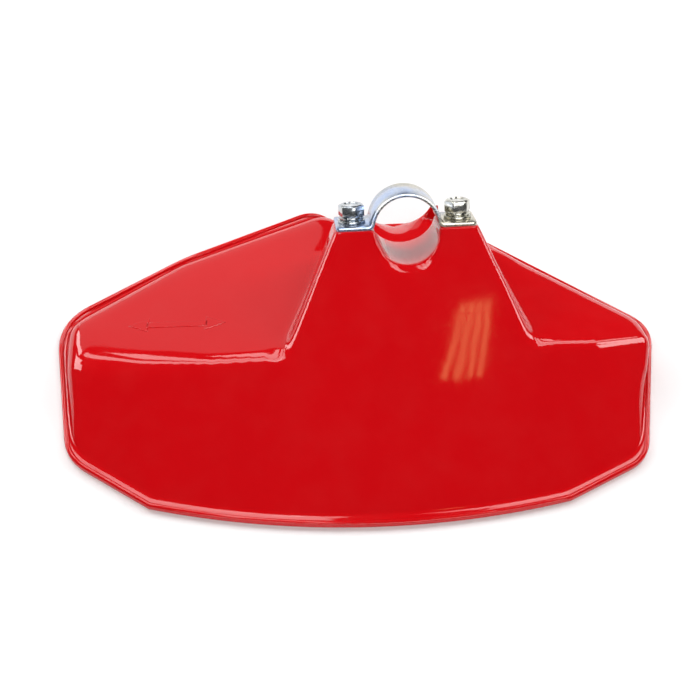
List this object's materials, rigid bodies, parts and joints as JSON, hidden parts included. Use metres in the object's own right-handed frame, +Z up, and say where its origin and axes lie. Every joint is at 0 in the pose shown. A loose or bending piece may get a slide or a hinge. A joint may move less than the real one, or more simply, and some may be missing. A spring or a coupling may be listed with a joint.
{
  "type": "brush cutter blade guard",
  "caption": "Moulded blade guard for a brush cutter: a ridged shell with a tower, clamped to the drive tube by a steel strap, bolts, washers and captive nuts.",
  "frame": {"origin": "on the axis of the drive tube, under the middle of the clamp strap", "axes": "+Z up, square to the plane of the shell's rim; +Y towards the cutter head, with the tube sloping down 34 degrees that way; +X to the right, seen from the operator"},
  "size_m": [0.2646, 0.1701, 0.061],
  "materials": {
    "shell_plastic": "gloss red, injection moulded",
    "strap_steel": "bright zinc plated, faint blue and yellow passivation",
    "bolt_steel": "bright zinc plated",
    "washer_steel": "bright zinc plated",
    "nut_steel": "bright zinc plated"
  },
  "bodies": {
    "shell": {"guard_shell": "shell_plastic", "nut_left": "nut_steel", "nut_right": "nut_steel"},
    "strap": {"clamp_strap": "strap_steel", "flat_washer_left": "washer_steel", "flat_washer_right": "washer_steel", "spring_washer_left": "washer_steel", "spring_washer_right": "washer_steel"},
    "left_bolt": {"bolt_left": "bolt_steel"},
    "right_bolt": {"bolt_right": "bolt_steel"}
  },
  "joints": [
    {"name": "strap_lift", "type": "slide", "parent": "shell", "child": "strap", "axis": [0, 0.5592, 0.829], "range_m": [0, 0.004]},
    {"name": "left_bolt_turn", "type": "hinge", "parent": "strap", "child": "left_bolt", "pos_m": [-0.0233, 0, 0], "axis": [0, 0.5592, 0.829], "range_deg": [0, 1440]},
    {"name": "right_bolt_turn", "type": "hinge", "parent": "strap", "child": "right_bolt", "pos_m": [0.0233, 0, 0], "axis": [0, 0.5592, 0.829], "range_deg": [0, 1440]}
  ],
  "couplings": [
    {"joint": "left_bolt_turn", "follows": "strap_lift", "rad_per_m": 6283.2},
    {"joint": "right_bolt_turn", "follows": "strap_lift", "rad_per_m": 6283.2}
  ]
}
